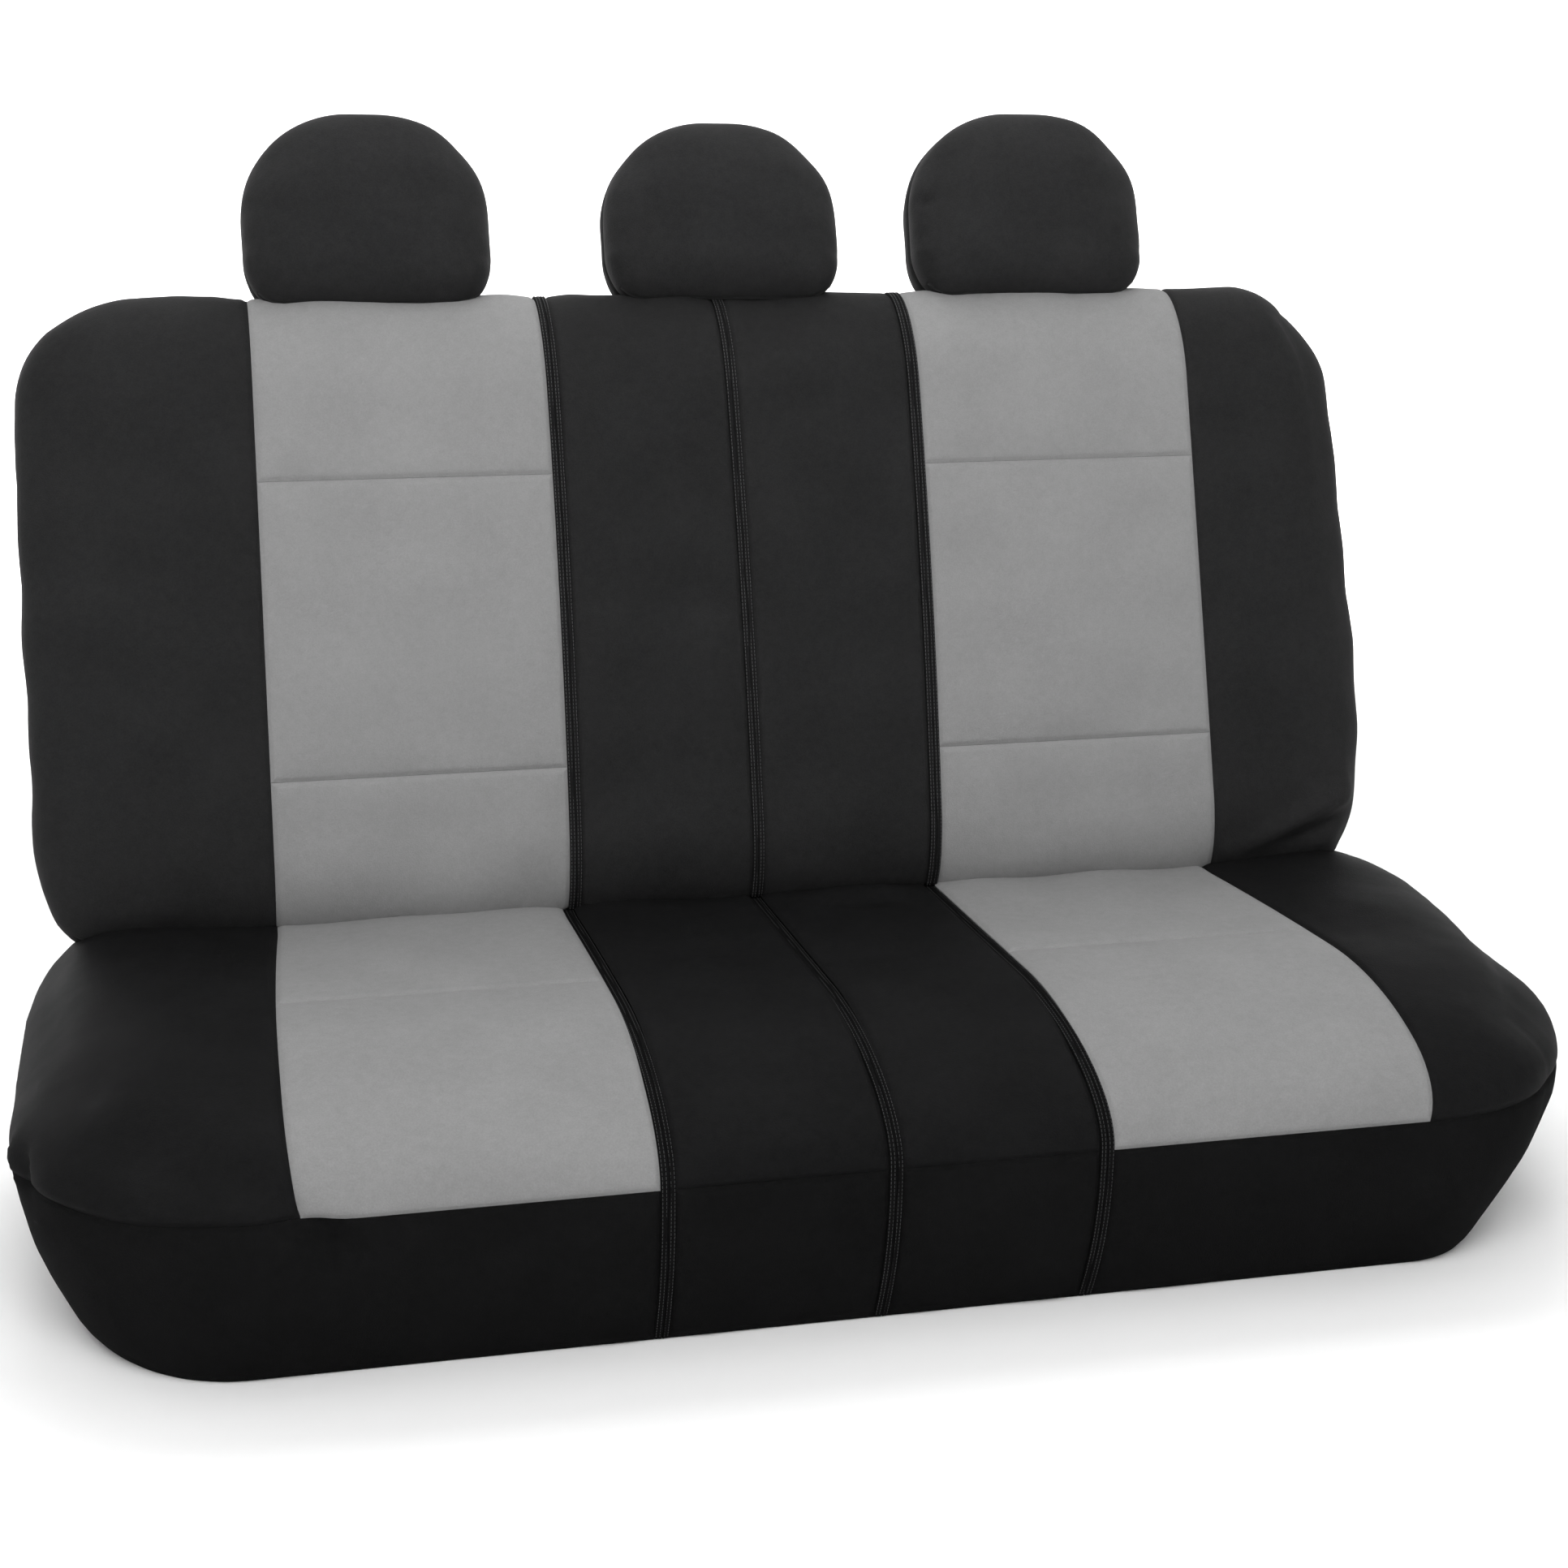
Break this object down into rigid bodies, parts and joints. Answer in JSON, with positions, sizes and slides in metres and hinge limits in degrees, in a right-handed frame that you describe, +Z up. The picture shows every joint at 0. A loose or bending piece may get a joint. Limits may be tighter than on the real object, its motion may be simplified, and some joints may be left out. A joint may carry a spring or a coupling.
{
  "type": "seat cover set",
  "caption": "Fabric cover set for a split rear bench seat, with zipped backrest and cushion covers, grey inserts and separate headrest covers.",
  "frame": {"origin": "middle of the overall footprint, on the level of the cushion cover's hem", "axes": "+X across the bench, +Y to the rear, +Z up"},
  "size_m": [1.4018, 0.7696, 0.996],
  "materials": {
    "black_fabric": "matt, fine smooth knit laminated to foam",
    "grey_fabric": "matt, fine smooth knit laminated to foam",
    "zip_tape": "folded edge over a zip, top stitched",
    "zip_metal": "black lacquered zinc",
    "elastic": "ribbed woven elastic"
  },
  "bodies": {
    "cushion_cover": {"left_cushion_bolster": "black_fabric", "left_cushion_insert_front": "grey_fabric", "left_cushion_insert_rear": "grey_fabric", "cushion_centre_left": "black_fabric", "left_skirt": "black_fabric", "left_rear_skirt": "black_fabric", "centre_skirt_left": "black_fabric", "centre_rear_skirt_left": "black_fabric", "left_under_strap": "elastic", "right_cushion_bolster": "black_fabric", "right_cushion_insert_front": "grey_fabric", "right_cushion_insert_rear": "grey_fabric", "cushion_centre_right": "black_fabric", "right_skirt": "black_fabric", "right_rear_skirt": "black_fabric", "centre_skirt_right": "black_fabric", "centre_rear_skirt_right": "black_fabric", "right_under_strap": "elastic", "left_cushion_zip": "zip_tape", "centre_cushion_zip": "zip_tape", "right_cushion_zip": "zip_tape"},
    "left_section": {"left_back_bolster": "black_fabric", "left_back_insert_lower": "grey_fabric", "left_back_insert_middle": "grey_fabric", "left_back_insert_upper": "grey_fabric", "left_back_rear_panel": "black_fabric"},
    "centre_section": {"back_centre_left": "black_fabric", "back_centre_right": "black_fabric", "left_back_zip": "zip_tape", "centre_back_zip": "zip_tape", "right_back_zip": "zip_tape"},
    "right_section": {"right_back_bolster": "black_fabric", "right_back_insert_lower": "grey_fabric", "right_back_insert_middle": "grey_fabric", "right_back_insert_upper": "grey_fabric", "right_back_rear_panel": "black_fabric"},
    "left_headrest_cover": {"left_headrest_front": "black_fabric", "left_headrest_rear": "black_fabric", "left_headrest_closure": "elastic"},
    "centre_headrest_cover": {"centre_headrest_front": "black_fabric", "centre_headrest_rear": "black_fabric", "centre_headrest_closure": "elastic"},
    "right_headrest_cover": {"right_headrest_front": "black_fabric", "right_headrest_rear": "black_fabric", "right_headrest_closure": "elastic"},
    "left_back_slider": {"left_back_zip_slider": "zip_metal"},
    "left_back_pull": {"left_back_zip_pull": "zip_metal"},
    "centre_back_slider": {"centre_back_zip_slider": "zip_metal"},
    "centre_back_pull": {"centre_back_zip_pull": "zip_metal"},
    "right_back_slider": {"right_back_zip_slider": "zip_metal"},
    "right_back_pull": {"right_back_zip_pull": "zip_metal"},
    "left_cushion_slider": {"left_cushion_zip_slider": "zip_metal"},
    "left_cushion_pull": {"left_cushion_zip_pull": "zip_metal"},
    "centre_cushion_slider": {"centre_cushion_zip_slider": "zip_metal"},
    "centre_cushion_pull": {"centre_cushion_zip_pull": "zip_metal"},
    "right_cushion_slider": {"right_cushion_zip_slider": "zip_metal"},
    "right_cushion_pull": {"right_cushion_zip_pull": "zip_metal"}
  },
  "joints": [
    {"name": "left_section_fold", "type": "hinge", "parent": "cushion_cover", "child": "left_section", "pos_m": [0, 0.0992, 0.235], "axis": [1, 0, 0], "range_deg": [0, 90]},
    {"name": "centre_section_fold", "type": "hinge", "parent": "cushion_cover", "child": "centre_section", "pos_m": [0, 0.0992, 0.235], "axis": [1, 0, 0], "range_deg": [0, 90]},
    {"name": "right_section_fold", "type": "hinge", "parent": "cushion_cover", "child": "right_section", "pos_m": [0, 0.0992, 0.235], "axis": [1, 0, 0], "range_deg": [0, 90]},
    {"name": "left_headrest_lift", "type": "slide", "parent": "left_section", "child": "left_headrest_cover", "axis": [0, 0.2351, 0.972], "range_m": [0, 0.24]},
    {"name": "centre_headrest_lift", "type": "slide", "parent": "centre_section", "child": "centre_headrest_cover", "axis": [0, 0.2351, 0.972], "range_m": [0, 0.24]},
    {"name": "right_headrest_lift", "type": "slide", "parent": "right_section", "child": "right_headrest_cover", "axis": [0, 0.2351, 0.972], "range_m": [0, 0.24]},
    {"name": "left_back_slider_slide", "type": "slide", "parent": "centre_section", "child": "left_back_slider", "axis": [0, 0.2351, 0.972], "range_m": [0, 0.395]},
    {"name": "left_back_pull_swing", "type": "hinge", "parent": "left_back_slider", "child": "left_back_pull", "pos_m": [-0.19, 0.25998, 0.30207], "axis": [1, 0, 0], "range_deg": [-12, 136]},
    {"name": "centre_back_slider_slide", "type": "slide", "parent": "centre_section", "child": "centre_back_slider", "axis": [0, 0.2351, 0.972], "range_m": [0, 0.395]},
    {"name": "centre_back_pull_swing", "type": "hinge", "parent": "centre_back_slider", "child": "centre_back_pull", "pos_m": [0, 0.25998, 0.30207], "axis": [1, 0, 0], "range_deg": [-12, 136]},
    {"name": "right_back_slider_slide", "type": "slide", "parent": "centre_section", "child": "right_back_slider", "axis": [0, 0.2351, 0.972], "range_m": [0, 0.395]},
    {"name": "right_back_pull_swing", "type": "hinge", "parent": "right_back_slider", "child": "right_back_pull", "pos_m": [0.19, 0.25998, 0.30207], "axis": [1, 0, 0], "range_deg": [-12, 136]},
    {"name": "left_cushion_slider_slide", "type": "slide", "parent": "cushion_cover", "child": "left_cushion_slider", "axis": [0, 0, 1], "range_m": [0, 0.1]},
    {"name": "left_cushion_pull_swing", "type": "hinge", "parent": "left_cushion_slider", "child": "left_cushion_pull", "pos_m": [-0.18859, 0.2247, 0.043], "axis": [1, 0, 0], "range_deg": [0, 150]},
    {"name": "centre_cushion_slider_slide", "type": "slide", "parent": "cushion_cover", "child": "centre_cushion_slider", "axis": [0, 0, 1], "range_m": [0, 0.1]},
    {"name": "centre_cushion_pull_swing", "type": "hinge", "parent": "centre_cushion_slider", "child": "centre_cushion_pull", "pos_m": [0, 0.2247, 0.043], "axis": [1, 0, 0], "range_deg": [0, 150]},
    {"name": "right_cushion_slider_slide", "type": "slide", "parent": "cushion_cover", "child": "right_cushion_slider", "axis": [0, 0, 1], "range_m": [0, 0.1]},
    {"name": "right_cushion_pull_swing", "type": "hinge", "parent": "right_cushion_slider", "child": "right_cushion_pull", "pos_m": [0.18859, 0.2247, 0.043], "axis": [1, 0, 0], "range_deg": [0, 150]}
  ]
}
